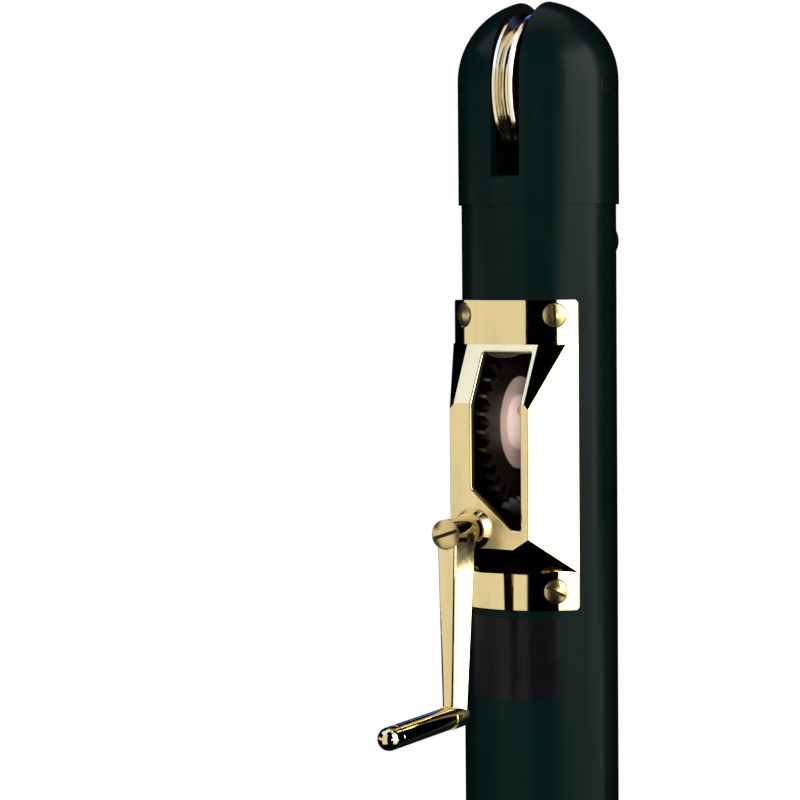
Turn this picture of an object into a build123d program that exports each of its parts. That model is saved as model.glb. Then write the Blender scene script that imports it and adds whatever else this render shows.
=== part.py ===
from build123d import *
import math
import os

# Winch post of a pair of tennis net posts, in millimetres.
# +Z is up, the origin is on the tube's axis at its foot, the winch faces -Y and the net is at +Y.

# Post tube and the height of the net
GROUND_LENGTH = 610.0
NET_CABLE_HEIGHT = 1070.0
TUBE_R = 38.1
TUBE_WALL = 3.05
SET_GROOVE_WIDTH = 2.0
SET_GROOVE_DEPTH = 0.5
CABLE_R = 3.0

# Running and seating clearances, on the radius or on one side
RUN_FIT = 0.08
SEAT_FIT = 0.03
HOLE_FIT = 0.2
END_PLAY = 0.3
AXIAL_PLAY = 0.1

# Sheave and its axle
SHEAVE_R = 37.5
SHEAVE_ROOT_R = 31.0
SHEAVE_WIDTH = 10.8
SHEAVE_GROOVE_WIDTH = 7.0
SHEAVE_GROOVE_WRAP = 55.0
SHEAVE_RIM_T = 3.0
SHEAVE_RIM_SLOPE = 2.0
SHEAVE_EDGE = 0.5
SHEAVE_WEB = 6.4
SHEAVE_HUB_R = 12.0
SHEAVE_HUB_SLOPE = 1.0
SHEAVE_Y = -5.0
SHEAVE_AXLE_R = 4.75
SHEAVE_AXLE_EDGE = 0.6
SHEAVE_BUSH_WALL = 2.7

# Cap
CAP_R = 39.55
CAP_DOME_RISE = 4.2
CAP_BASE_DROP = 56.1
CAP_SLOT_WIDTH = 15.0
CAP_SLOT_FRONT_DROP = 42.5
CAP_SLOT_REAR_RISE = 14.0
CAP_SLOT_GAP = 1.0
CAP_LIP = 1.5
CAP_WALL = 8.0
CAP_CHEEK = 4.5
CAP_SPIGOT_LENGTH = 36.0
CAP_SPIGOT_WALL = 4.0
CAP_SCREW_ANGLE = 60.0
CAP_SCREW_HEAD_R = 4.7
CAP_SCREW_HEAD_T = 1.8
CAP_SCREW_LENGTH = 9.0
CAP_SCREW_TURN = 30.0

# Screws: the heads are domed above a straight rim, and the slot is a share of the head
SCREW_DOME_SHARE = 0.6
SLOT_WIDTH_SHARE = 0.24
SLOT_DEPTH_SHARE = 0.5
SCREW_SHANK_R = 3.0
SCREW_HOLE_SPARE = 1.0
SCREW_SEAT_MARGIN = 0.6
SCREW_SEAT_DEPTH = 0.4

# Winch: drum axis
DRUM_DROP = 162.7
DRUM_Y = -14.0
DRUM_R = 14.3
DRUM_AXLE_R = 6.0
DRUM_AXLE_HEAD_R = 8.0
DRUM_AXLE_HEAD_T = 2.4
DRUM_AXLE_END = 3.2
AXLE_RING_R = 8.4
AXLE_RING_T = 1.2
AXLE_RING_DEPTH = 0.8
AXLE_RING_GAP = 7.2
DRUM_BUSH_WALL = 2.0
DRUM_REGISTER_WALL = 1.5
DRUM_FLANGE_R = 18.5
DRUM_FLANGE_T = 2.3
ANCHOR_X = 3.0
ANCHOR_LIFT = 29.0
ANCHOR_DEPTH = 5.0
CLAMP_OFFSET = 7.5
CLAMP_SCREW_LENGTH = 4.0
CLAMP_SCREW_TURN = 40.0
WHEEL_SCREW_R = 1.5
WHEEL_SCREW_HEAD_R = 2.2
WHEEL_SCREW_HEAD_T = 1.6
WHEEL_SCREW_LENGTH = 12.0
WHEEL_SCREW_TURN = 20.0
WHEEL_SCREW_COUNT = 3

# Worm and worm wheel
MODULE = 2.6
WHEEL_TEETH = 29
WHEEL_FACE = 8.0
WHEEL_RIGHT_X = -4.5
WORM_PITCH_R = 10.8
WORM_LENGTH = 30.0
PRESSURE_ANGLE = 20.0
BACKLASH = 0.8
TIP_CLEARANCE = 0.5
THREAD_SINK = 0.3

# Winch housing
FACE_Y = -59.0
FACE_HALF_WIDTH = 20.6
FACE_TOP = 11.5
FACE_BOTTOM = -58.0
SNOUT_TOP = 39.2
SNOUT_BOTTOM = -71.5
HOUSING_WALL = 3.2
FLANGE_T = 4.9
FLANGE_HALF_ANGLE = 50.1
FLANGE_TOP = 60.4
FLANGE_BOTTOM = -89.0
FLANGE_CORNER_R = 2.0
TOP_FACET_TILT = 1.2
TOP_FACET_LEAN = 1.75
TOP_FACET_DROP = 2.6
BOTTOM_FACET_TILT = 0.64
BOTTOM_FACET_START = 12.3
SNOUT_EDGE_R = 0.8
WINDOW_LEFT = -9.3
WINDOW_RIGHT = 16.3
WINDOW_TOP = 35.1
WINDOW_BOTTOM = -48.6
WINDOW_DIAGONAL_TOP = -29.3
WINDOW_DIAGONAL_X = 11.9
WINDOW_CORNER_R = 1.5
WINDOW_BEND_R = 3.0
WINDOW_EDGE_R = 1.0
CHEEK_INNER_X = 17.4
CHEEK_LOBE_R = 9.0
CUTOUT_HALF_WIDTH = 24.5
CUTOUT_MARGIN = 2.0
SCREW_ANGLE = 34.0
SCREW_TOP = 53.2
SCREW_BOTTOM = -79.8
SCREW_HEAD_R = 5.6
SCREW_HEAD_T = 2.0
SCREW_LENGTH = 12.0
SCREW_TURNS = (14.0, 3.0, 75.0, 63.0)

# Worm shaft and its bearings
JOURNAL_R = 5.0
WORM_BUSH_WALL = 1.3
FRONT_BOSS_BASE_R = 10.0
FRONT_BOSS_R = 7.6
FRONT_BOSS_T = 4.0
FRONT_BUSH_LENGTH = 15.0
REAR_BUSH_LENGTH = 8.0
REAR_BEARING_GAP = 4.0
REAR_POST_MARGIN = 2.0
THRUST_WASHER_T = 1.5
THRUST_WASHER_R = 8.5
COLLAR_R = 8.0
COLLAR_T = 4.0
COLLAR_PIN_R = 1.5
COLLAR_PIN_SINK = 0.6
DRIVE_SQUARE = 7.0
DRIVE_SQUARE_END = 4.0

# Crank
HUB_R = 6.9
HUB_FRONT_Y = -88.0
CRANK_WASHER_R = 7.8
CRANK_RADIUS = 86.9
ARM_TOP_WIDTH = 9.4
ARM_END_WIDTH = 5.2
ARM_TOP_DEPTH = 15.2
ARM_END_DEPTH = 11.0
ARM_DRAFT = 14.0
ARM_FRONT_EDGE_R = 1.6
ARM_REAR_EDGE_R = 0.9
ARM_BOSS_R = 5.9
ARM_BOSS_LENGTH = 14.0
ARM_BOSS_EDGE_R = 2.4
CRANK_SCREW_HEAD_R = 7.1
CRANK_SCREW_HEAD_T = 2.4
CRANK_SCREW_SHANK_R = 2.5
CRANK_SCREW_LENGTH = 14.0
CRANK_SLOT_TURN = 19.0

# Grip
GRIP_R = 5.4
GRIP_PIN_R = 2.6
GRIP_LENGTH = 54.0
GRIP_EDGE = 0.5
GRIP_HEAD_LENGTH = 10.0
RIVET_R = 3.5
RIVET_T = 1.6

# Blank label on the tube
LABEL_T = 0.3
LABEL_HEIGHT = 40.0
LABEL_GAP = 4.4
LABEL_HALF_ANGLE = 36.9
LABEL_TURN = 2.0

# Lacing rod on the net side
ROD_R = 4.0
ROD_STANDOFF = 14.0
ROD_BOTTOM_HEIGHT = 70.0
ROD_TOP_DROP = 40.0
ROD_BEND_R = 14.0
ROD_TAIL = 8.0
EYE_COUNT = 4
EYE_WALL = 3.2
EYE_HEIGHT = 10.0
EYE_CLEARANCE = 0.3
EYE_FIRST_RISE = 30.0

# Places worked out from the driving sizes
TUBE_BORE_R = TUBE_R - TUBE_WALL
SHEAVE_Z = GROUND_LENGTH + NET_CABLE_HEIGHT - SHEAVE_ROOT_R - CABLE_R
SHEAVE_BORE_R = SHEAVE_AXLE_R + RUN_FIT + SHEAVE_BUSH_WALL + SEAT_FIT
SHEAVE_HUB_HALF = CAP_SLOT_WIDTH / 2 - END_PLAY
CAP_BASE_Z = SHEAVE_Z - CAP_BASE_DROP
CAP_DOME_Z = SHEAVE_Z + CAP_DOME_RISE
CAP_TOP_Z = CAP_DOME_Z + CAP_R
DRUM_Z = SHEAVE_Z - DRUM_DROP
DRUM_BORE_R = DRUM_AXLE_R + RUN_FIT + DRUM_BUSH_WALL + SEAT_FIT
DRUM_REGISTER_R = DRUM_BORE_R + DRUM_REGISTER_WALL
DRUM_END_X = CHEEK_INNER_X - END_PLAY
WHEEL_PITCH_R = MODULE * WHEEL_TEETH / 2
WHEEL_R = WHEEL_PITCH_R + MODULE
WHEEL_LEFT_X = WHEEL_RIGHT_X - WHEEL_FACE
WHEEL_MID_X = WHEEL_RIGHT_X - WHEEL_FACE / 2
WORM_R = WORM_PITCH_R + MODULE
WORM_ROOT_R = WORM_PITCH_R - MODULE - TIP_CLEARANCE
WORM_LEAD = math.pi * MODULE
WORM_X = WHEEL_MID_X
WORM_Z = DRUM_Z - WHEEL_PITCH_R - WORM_PITCH_R
FLANGE_R = TUBE_R + FLANGE_T
FLANGE_HALF_WIDTH = FLANGE_R * math.sin(math.radians(FLANGE_HALF_ANGLE))
FLANGE_EDGE_Y = -FLANGE_R * math.cos(math.radians(FLANGE_HALF_ANGLE))
CHEEK_OUTER_X = CHEEK_INNER_X + HOUSING_WALL
CARRIER_TOP_Z = WORM_Z - WORM_R - CUTOUT_MARGIN
CARRIER_BOTTOM_Z = CARRIER_TOP_Z - HOUSING_WALL
WORM_BUSH_R = JOURNAL_R + RUN_FIT + WORM_BUSH_WALL
BOSS_FRONT_Y = FACE_Y - FRONT_BOSS_T
FRONT_BUSH_REAR_Y = BOSS_FRONT_Y + FRONT_BUSH_LENGTH
SHOULDER_Y = FRONT_BUSH_REAR_Y + AXIAL_PLAY + THRUST_WASHER_T
WORM_REAR_Y = DRUM_Y + WORM_LENGTH / 2
REAR_BUSH_Y = WORM_REAR_Y + REAR_BEARING_GAP
REAR_END_Y = REAR_BUSH_Y + REAR_BUSH_LENGTH
COLLAR_Y = REAR_END_Y + AXIAL_PLAY
HUB_REAR_Y = BOSS_FRONT_Y - THRUST_WASHER_T - AXIAL_PLAY
SQUARE_FRONT_Y = HUB_FRONT_Y + DRIVE_SQUARE_END
GRIP_Z = WORM_Z - CRANK_RADIUS
GRIP_REAR_Y = HUB_FRONT_Y - END_PLAY
GRIP_FRONT_Y = GRIP_REAR_Y - GRIP_LENGTH
LABEL_TOP_Z = DRUM_Z + FLANGE_BOTTOM - LABEL_GAP
ROD_Y = TUBE_R + ROD_STANDOFF
ROD_BOTTOM_Z = GROUND_LENGTH + ROD_BOTTOM_HEIGHT
ROD_TOP_Z = CAP_BASE_Z - ROD_TOP_DROP
FAR = 200.0


def rod_x(radius, x0, x1, y, z):
    """Cylinder along X from x0 to x1."""
    return Pos((x0 + x1) / 2, y, z) * Rot(0, 90, 0) * Cylinder(radius, x1 - x0)


def rod_y(radius, y0, y1, x, z):
    """Cylinder along Y from y0 to y1."""
    return Pos(x, (y0 + y1) / 2, z) * Rot(90, 0, 0) * Cylinder(radius, y1 - y0)


def rod_z(radius, z0, z1, x=0.0, y=0.0):
    """Cylinder along Z from z0 to z1."""
    return Pos(x, y, (z0 + z1) / 2) * Cylinder(radius, z1 - z0)


def block(x0, x1, y0, y1, z0, z1):
    """Box between two corners."""
    return Pos((x0 + x1) / 2, (y0 + y1) / 2, (z0 + z1) / 2) * Box(x1 - x0, y1 - y0, z1 - z0)


def side_plate(points, x0, x1):
    """Outline in the YZ plane, extruded from x0 to x1."""
    outline = make_face(Plane.YZ * Polyline(*points, close=True))
    return Pos(x0, 0, 0) * extrude(outline, x1 - x0, dir=(1, 0, 0))


def front_plate(points, y0, y1, radii):
    """Outline in the XZ plane with rounded corners, extruded from y0 to y1."""
    outline = make_face(Polyline(*[(x, 0, z) for x, z in points], close=True))
    for (x, z), radius in zip(points, radii):
        corner = outline.vertices().sort_by_distance((x, 0, z))[0]
        outline = fillet(corner, radius)
    return Pos(0, y0, 0) * extrude(outline, y1 - y0, dir=(0, 1, 0))


def front_sector(half_angle, turn, z0, z1):
    """Wedge about the tube's axis, open towards -Y and turned towards +X."""
    sides = [math.radians(turn - half_angle), math.radians(turn + half_angle)]
    corners = [(FAR * math.sin(side), -FAR * math.cos(side)) for side in sides]
    outline = make_face(Polyline((0, 0), *corners, close=True))
    return Pos(0, 0, z0) * extrude(outline, z1 - z0, dir=(0, 0, 1))


def keep_below(shape, point, normal):
    """Part of a shape on the far side of a plane from its normal."""
    return split(shape, bisect_by=Plane(origin=point, z_dir=normal), keep=Keep.BOTTOM)


def radial_place(angle, radius, z):
    """Place on a cylinder whose local +Z points outwards, at an angle from -Y towards +X."""
    turn = math.radians(angle)
    outward = (math.sin(turn), -math.cos(turn), 0)
    origin = (radius * outward[0], radius * outward[1], z)
    return Plane(origin=origin, x_dir=(0, 0, 1), z_dir=outward).location


def slotted_screw(head_r, head_t, shank_r, length, slot_turn):
    """Screw along -Z whose domed and slotted head stands on Z = 0."""
    rise = head_t * SCREW_DOME_SHARE
    dome_r = (head_r ** 2 + rise ** 2) / (2 * rise)
    head = rod_z(head_r, 0, head_t) & Pos(0, 0, head_t - dome_r) * Sphere(dome_r)
    slot_depth = head_t * SLOT_DEPTH_SHARE
    slot = Rot(0, 0, slot_turn) * Box(FAR, head_r * SLOT_WIDTH_SHARE, slot_depth)
    return head - Pos(0, 0, head_t - slot_depth / 2) * slot + rod_z(shank_r, -length, 0)


def screw_hole(shank_r, length):
    """Hole under Z = 0 for a screw of this shank, a little deeper than the screw."""
    return rod_z(shank_r + SEAT_FIT, -length - SCREW_HOLE_SPARE, SCREW_HOLE_SPARE)


def screw_seat(head_r):
    """Flat cut on a round surface for a screw's head."""
    return rod_z(head_r + SCREW_SEAT_MARGIN, 0, FLANGE_T)


def housing_screw_places():
    """Seats of the four housing screws on the flange."""
    radius = FLANGE_R - SCREW_SEAT_DEPTH
    heights = (DRUM_Z + SCREW_TOP, DRUM_Z + SCREW_BOTTOM)
    return [radial_place(side * SCREW_ANGLE, radius, z) for z in heights for side in (-1, 1)]


def cap_screw_places():
    """Seats of the two cap screws on the net side of the tube."""
    z = CAP_BASE_Z - CAP_SPIGOT_LENGTH / 2
    radius = TUBE_R - SCREW_SEAT_DEPTH
    return [radial_place(180 + side * CAP_SCREW_ANGLE, radius, z) for side in (-1, 1)]


def post_tube():
    """Round tube with the winch opening, its tapped holes and the set-height groove."""
    tube = rod_z(TUBE_R, 0, CAP_BASE_Z) - rod_z(TUBE_BORE_R, 0, CAP_BASE_Z)
    groove = rod_z(TUBE_R + 1, 0, SET_GROOVE_WIDTH) - rod_z(TUBE_R - SET_GROOVE_DEPTH, 0, SET_GROOVE_WIDTH)
    tube -= Pos(0, 0, GROUND_LENGTH) * groove
    opening_top = DRUM_Z + WHEEL_R + CUTOUT_MARGIN
    opening_bottom = CARRIER_BOTTOM_Z - CUTOUT_MARGIN
    tube -= block(-CUTOUT_HALF_WIDTH, CUTOUT_HALF_WIDTH, -FAR, 0, opening_bottom, opening_top)
    for place in housing_screw_places():
        tube -= place * screw_hole(SCREW_SHANK_R, SCREW_LENGTH)
    for place in cap_screw_places():
        tube -= place * screw_hole(SCREW_SHANK_R, CAP_SCREW_LENGTH)
        tube -= place * screw_seat(CAP_SCREW_HEAD_R)
    return tube


def blank_label():
    """Thin bare label wrapped on the tube under the winch."""
    bottom = LABEL_TOP_Z - LABEL_HEIGHT
    inner = TUBE_R + SEAT_FIT
    ring = rod_z(inner + LABEL_T, bottom, LABEL_TOP_Z) - rod_z(inner, bottom, LABEL_TOP_Z)
    return ring & front_sector(LABEL_HALF_ANGLE, LABEL_TURN, bottom, LABEL_TOP_Z)


def top_cap():
    """Domed cap with a spigot, a slot over its top and two cheeks for the sheave axle."""
    outer = rod_z(CAP_R, CAP_BASE_Z, CAP_DOME_Z) + Pos(0, 0, CAP_DOME_Z) * Sphere(CAP_R)
    spigot_r = TUBE_BORE_R - SEAT_FIT
    spigot_bottom = CAP_BASE_Z - CAP_SPIGOT_LENGTH
    outer += rod_z(spigot_r, spigot_bottom, CAP_BASE_Z)
    cavity_r = CAP_R - CAP_WALL
    cavity = rod_z(cavity_r, CAP_BASE_Z, CAP_DOME_Z) + Pos(0, 0, CAP_DOME_Z) * Sphere(cavity_r)
    cavity += rod_z(spigot_r - CAP_SPIGOT_WALL, spigot_bottom, CAP_BASE_Z)
    half_slot = CAP_SLOT_WIDTH / 2
    cavity -= block(-half_slot - CAP_CHEEK, -half_slot, -FAR, FAR, CAP_BASE_Z, CAP_TOP_Z)
    cavity -= block(half_slot, half_slot + CAP_CHEEK, -FAR, FAR, CAP_BASE_Z, CAP_TOP_Z)
    cap = outer - cavity - cap_slot()
    cap -= rod_x(SHEAVE_AXLE_R + SEAT_FIT, -FAR, FAR, SHEAVE_Y, SHEAVE_Z)
    for place in cap_screw_places():
        cap -= place * screw_hole(SCREW_SHANK_R, CAP_SCREW_LENGTH)
    return cap


def cap_slot():
    """Slot from the front over the top of the cap, with room for the sheave and a sloping lip."""
    half_slot = CAP_SLOT_WIDTH / 2
    front_z = SHEAVE_Z - CAP_SLOT_FRONT_DROP
    slot = block(-half_slot, half_slot, -FAR, 0, front_z, FAR + CAP_TOP_Z)
    slot += block(-half_slot, half_slot, 0, FAR, SHEAVE_Z + CAP_SLOT_REAR_RISE, FAR + CAP_TOP_Z)
    slot += rod_x(SHEAVE_R + CAP_SLOT_GAP, -half_slot, half_slot, SHEAVE_Y, SHEAVE_Z)
    outside, inside = -CAP_R - CAP_LIP, -CAP_R + CAP_LIP
    lip = [(outside, front_z - 2 * CAP_LIP), (inside, front_z), (outside, front_z)]
    return slot + side_plate(lip, -half_slot, half_slot)


def cap_screws():
    """Two slotted screws that hold the cap's spigot."""
    screw = slotted_screw(CAP_SCREW_HEAD_R, CAP_SCREW_HEAD_T, SCREW_SHANK_R, CAP_SCREW_LENGTH, CAP_SCREW_TURN)
    return [place * screw for place in cap_screw_places()]


def sheave_axle():
    """Plain pin through both cheeks, just short of the cap's surface at each end."""
    half = math.sqrt(CAP_R ** 2 - (abs(SHEAVE_Y) + SHEAVE_AXLE_R) ** 2)
    pin = rod_x(SHEAVE_AXLE_R, -half, half, SHEAVE_Y, SHEAVE_Z)
    return chamfer(pin.edges().filter_by(GeomType.CIRCLE), SHEAVE_AXLE_EDGE)


def sheave():
    """Grooved wheel on the X axis through the cap's slot."""
    half = SHEAVE_WIDTH / 2
    web = SHEAVE_WEB / 2
    wrap = math.radians(SHEAVE_GROOVE_WRAP)
    root_end = (CABLE_R * math.sin(wrap), SHEAVE_ROOT_R + CABLE_R * (1 - math.cos(wrap)))
    rim_floor = SHEAVE_ROOT_R - SHEAVE_RIM_T
    right = [root_end, (SHEAVE_GROOVE_WIDTH / 2, SHEAVE_R), (half - SHEAVE_EDGE, SHEAVE_R),
             (half, SHEAVE_R - SHEAVE_EDGE), (half, rim_floor), (web, rim_floor - SHEAVE_RIM_SLOPE),
             (web, SHEAVE_HUB_R + SHEAVE_HUB_SLOPE), (SHEAVE_HUB_HALF, SHEAVE_HUB_R),
             (SHEAVE_HUB_HALF, SHEAVE_BORE_R)]
    left = [(-x, r) for x, r in reversed(right)]
    root = ThreePointArc(left[-1], (0, SHEAVE_ROOT_R), right[0])
    wheel = revolve(make_face(Polyline(*right, *left) + root), Axis.X)
    return Pos(0, SHEAVE_Y, SHEAVE_Z) * wheel


def sheave_bush():
    """Bronze sleeve between the sheave and its axle."""
    inner = SHEAVE_AXLE_R + RUN_FIT
    bush = rod_x(inner + SHEAVE_BUSH_WALL, -SHEAVE_HUB_HALF, SHEAVE_HUB_HALF, SHEAVE_Y, SHEAVE_Z)
    return bush - rod_x(inner, -SHEAVE_HUB_HALF, SHEAVE_HUB_HALF, SHEAVE_Y, SHEAVE_Z)


def snout_block(inset, rear_y):
    """Solid of the snout's shape, back to rear_y, with every plane moved inwards by the inset."""
    depth = -FLANGE_R - FACE_Y
    top_run = (SNOUT_TOP - FACE_TOP) / depth
    bottom_run = (FACE_BOTTOM - SNOUT_BOTTOM) / depth
    flare = (FLANGE_HALF_WIDTH - FACE_HALF_WIDTH) / (FLANGE_EDGE_Y - FACE_Y)
    planes = [((0, FACE_Y, 0), (0, -1, 0)),
              ((0, 0, DRUM_Z + SNOUT_TOP), (0, 0, 1)),
              ((0, 0, DRUM_Z + SNOUT_BOTTOM), (0, 0, -1)),
              ((0, FACE_Y, DRUM_Z + FACE_TOP), (0, -top_run, 1)),
              ((0, FACE_Y, DRUM_Z + FACE_BOTTOM), (0, -bottom_run, -1))]
    for side in (-1, 1):
        corner_x = side * FACE_HALF_WIDTH
        planes += [((corner_x, FACE_Y, 0), (side, -flare, 0)),
                   ((corner_x, FACE_Y, DRUM_Z + FACE_TOP - TOP_FACET_DROP),
                    (side * TOP_FACET_TILT, -TOP_FACET_LEAN, 1)),
                   ((side * BOTTOM_FACET_START, FACE_Y, DRUM_Z + FACE_BOTTOM),
                    (side * BOTTOM_FACET_TILT, -bottom_run, -1))]
    solid = block(-FAR, FAR, -FAR, rear_y, DRUM_Z - FAR, DRUM_Z + FAR)
    for point, normal in planes:
        inward = Vector(*normal).normalized() * -inset
        solid = keep_below(solid, Vector(*point) + inward, normal)
    return solid


def window_cut():
    """Tall opening through the front wall and the upper slope."""
    outline = [(WINDOW_LEFT, WINDOW_TOP), (WINDOW_RIGHT, WINDOW_TOP), (WINDOW_RIGHT, WINDOW_BOTTOM),
               (WINDOW_DIAGONAL_X, WINDOW_BOTTOM), (WINDOW_LEFT, WINDOW_DIAGONAL_TOP)]
    points = [(x, DRUM_Z + z) for x, z in outline]
    radii = [WINDOW_CORNER_R] * 3 + [WINDOW_BEND_R] * 2
    return front_plate(points, FACE_Y - 1, -FLANGE_R + HOUSING_WALL, radii)


def snout_shell():
    """Outside of the snout with the window's pocket, its rim and the face's edges rounded."""
    snout = snout_block(0, FLANGE_EDGE_Y)
    snout = fillet(snout.faces().sort_by(Axis.Y)[0].edges(), SNOUT_EDGE_R)
    window = window_cut()
    pocket = snout - window
    rim = new_edges(snout, window, combined=pocket)
    floor_y = -FLANGE_R + HOUSING_WALL
    rim = [edge for edge in rim if edge.bounding_box().max.Y < floor_y - WINDOW_EDGE_R]
    return fillet(rim, WINDOW_EDGE_R)


def winch_cheek(x0, x1):
    """Inner wall that carries one end of the drum axle."""
    front = FACE_Y + HOUSING_WALL / 2
    outline = [(front, DRUM_Z + FACE_TOP - 1), (DRUM_Y, DRUM_Z + CHEEK_LOBE_R),
               (DRUM_Y, DRUM_Z - CHEEK_LOBE_R), (front, DRUM_Z - CHEEK_LOBE_R * 3)]
    return side_plate(outline, x0, x1) + rod_x(CHEEK_LOBE_R, x0, x1, DRUM_Y, DRUM_Z)


def worm_carrier():
    """Floor under the worm, its rear bearing post and the inside of the front bearing."""
    post_half = WORM_BUSH_R + REAR_POST_MARGIN
    left, right = WORM_X - post_half, WORM_X + post_half
    carrier = block(-FAR, WORM_X + WORM_R, FACE_Y, REAR_END_Y, CARRIER_BOTTOM_Z, CARRIER_TOP_Z)
    carrier += block(left, right, REAR_BUSH_Y, REAR_END_Y, CARRIER_BOTTOM_Z, WORM_Z)
    carrier += rod_y(post_half, REAR_BUSH_Y, REAR_END_Y, WORM_X, WORM_Z)
    carrier += rod_y(FRONT_BOSS_BASE_R, FACE_Y, FRONT_BUSH_REAR_Y, WORM_X, WORM_Z)
    carrier &= snout_block(0, REAR_END_Y)
    return carrier & block(-CHEEK_OUTER_X, FAR, -FAR, FAR, DRUM_Z - FAR, DRUM_Z + FAR)


def front_boss():
    """Tapered boss on the face round the worm's front bearing."""
    boss = Cone(FRONT_BOSS_BASE_R, FRONT_BOSS_R, FRONT_BOSS_T)
    return Pos(WORM_X, FACE_Y - FRONT_BOSS_T / 2, WORM_Z) * Rot(90, 0, 0) * boss


def winch_housing():
    """Casting with the curved flange, the snout with its window and the bearing seats inside."""
    top, bottom = DRUM_Z + FLANGE_TOP, DRUM_Z + FLANGE_BOTTOM
    ring = rod_z(FLANGE_R, bottom, top) - rod_z(TUBE_R, bottom, top)
    flange = ring & front_sector(FLANGE_HALF_ANGLE, 0, bottom, top)
    corners = [e for e in flange.edges().filter_by(GeomType.LINE) if e.length < FLANGE_T * 1.5]
    flange = fillet(corners, FLANGE_CORNER_R)
    body = flange + (snout_shell() - rod_z(TUBE_R, bottom, top))
    body -= snout_block(HOUSING_WALL, FLANGE_EDGE_Y)
    body += winch_cheek(CHEEK_INNER_X, CHEEK_OUTER_X)
    body += winch_cheek(-CHEEK_OUTER_X, -CHEEK_INNER_X)
    body += worm_carrier() + front_boss()
    body -= rod_y(WORM_BUSH_R + SEAT_FIT, -FAR, FAR, WORM_X, WORM_Z)
    body -= rod_x(DRUM_AXLE_R + SEAT_FIT, -FAR, FAR, DRUM_Y, DRUM_Z)
    for place in housing_screw_places():
        body -= place * screw_hole(SCREW_SHANK_R, SCREW_LENGTH)
        body -= place * screw_seat(SCREW_HEAD_R)
    return body


def housing_screws():
    """Four slotted screws through the flange."""
    screws = []
    for place, turn in zip(housing_screw_places(), SCREW_TURNS):
        screws.append(place * slotted_screw(SCREW_HEAD_R, SCREW_HEAD_T, SCREW_SHANK_R, SCREW_LENGTH, turn))
    return screws


def ring_groove_x():
    """Left and right sides of the retaining ring's groove."""
    x0 = CHEEK_OUTER_X + AXIAL_PLAY
    return x0, x0 + AXLE_RING_T + AXIAL_PLAY


def drum_axle():
    """Headed pin across both cheeks, grooved for its retaining ring."""
    pin = rod_x(DRUM_AXLE_R, -CHEEK_OUTER_X, CHEEK_OUTER_X + DRUM_AXLE_END, DRUM_Y, DRUM_Z)
    pin += rod_x(DRUM_AXLE_HEAD_R, -CHEEK_OUTER_X - DRUM_AXLE_HEAD_T, -CHEEK_OUTER_X, DRUM_Y, DRUM_Z)
    x0, x1 = ring_groove_x()
    groove = rod_x(DRUM_AXLE_R + 1, x0, x1, DRUM_Y, DRUM_Z)
    return pin - (groove - rod_x(DRUM_AXLE_R - AXLE_RING_DEPTH, x0, x1, DRUM_Y, DRUM_Z))


def axle_ring():
    """Open retaining ring in the drum axle's groove."""
    x0 = ring_groove_x()[0] + AXIAL_PLAY / 2
    x1 = x0 + AXLE_RING_T
    ring = rod_x(AXLE_RING_R, x0, x1, DRUM_Y, DRUM_Z)
    ring -= rod_x(DRUM_AXLE_R - AXLE_RING_DEPTH + SEAT_FIT, x0, x1, DRUM_Y, DRUM_Z)
    half_gap = AXLE_RING_GAP / 2
    return ring - block(x0, x1, DRUM_Y, DRUM_Y + FAR, DRUM_Z - half_gap, DRUM_Z + half_gap)


def anchor_place():
    """Place on the drum's surface of the cable hole, local +Z outwards."""
    lift = math.radians(ANCHOR_LIFT)
    outward = (0, -math.cos(lift), math.sin(lift))
    origin = (ANCHOR_X, DRUM_Y + DRUM_R * outward[1], DRUM_Z + DRUM_R * outward[2])
    return Plane(origin=origin, x_dir=(1, 0, 0), z_dir=outward).location


def clamp_place():
    """Place of the clamp screw, beside the cable hole."""
    return anchor_place() * Pos(CLAMP_OFFSET, 0, 0)


def cable_drum():
    """Barrel that takes the net cable, bored for its bush, with a register for the wheel."""
    flange_x = DRUM_END_X - DRUM_FLANGE_T
    barrel = rod_x(DRUM_R, WHEEL_RIGHT_X, flange_x, DRUM_Y, DRUM_Z)
    barrel += rod_x(DRUM_REGISTER_R, -DRUM_END_X, WHEEL_RIGHT_X, DRUM_Y, DRUM_Z)
    barrel -= rod_x(DRUM_BORE_R, -DRUM_END_X, flange_x, DRUM_Y, DRUM_Z)
    barrel -= anchor_place() * rod_z(CABLE_R + HOLE_FIT, -ANCHOR_DEPTH, SCREW_HOLE_SPARE)
    for place in wheel_screw_places():
        barrel -= place * screw_hole(WHEEL_SCREW_R, WHEEL_SCREW_LENGTH)
    return barrel - clamp_place() * screw_hole(WHEEL_SCREW_R, CLAMP_SCREW_LENGTH)


def clamp_screw():
    """Small slotted screw that clamps the end of the cable."""
    screw = slotted_screw(WHEEL_SCREW_HEAD_R, WHEEL_SCREW_HEAD_T, WHEEL_SCREW_R, CLAMP_SCREW_LENGTH,
                          CLAMP_SCREW_TURN)
    return clamp_place() * screw


def drum_flange():
    """Disc that closes the right end of the drum."""
    x0 = DRUM_END_X - DRUM_FLANGE_T
    disc = rod_x(DRUM_FLANGE_R, x0, DRUM_END_X, DRUM_Y, DRUM_Z)
    return disc - rod_x(DRUM_BORE_R, x0, DRUM_END_X, DRUM_Y, DRUM_Z)


def drum_bush():
    """Bronze sleeve between the drum and its axle."""
    inner = DRUM_AXLE_R + RUN_FIT
    bush = rod_x(inner + DRUM_BUSH_WALL, -DRUM_END_X, DRUM_END_X, DRUM_Y, DRUM_Z)
    return bush - rod_x(inner, -DRUM_END_X, DRUM_END_X, DRUM_Y, DRUM_Z)


def tooth_half_width():
    """Half of a tooth's width at the pitch line, with half of the backlash taken off."""
    return (math.pi * MODULE / 2 - BACKLASH) / 2


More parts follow.
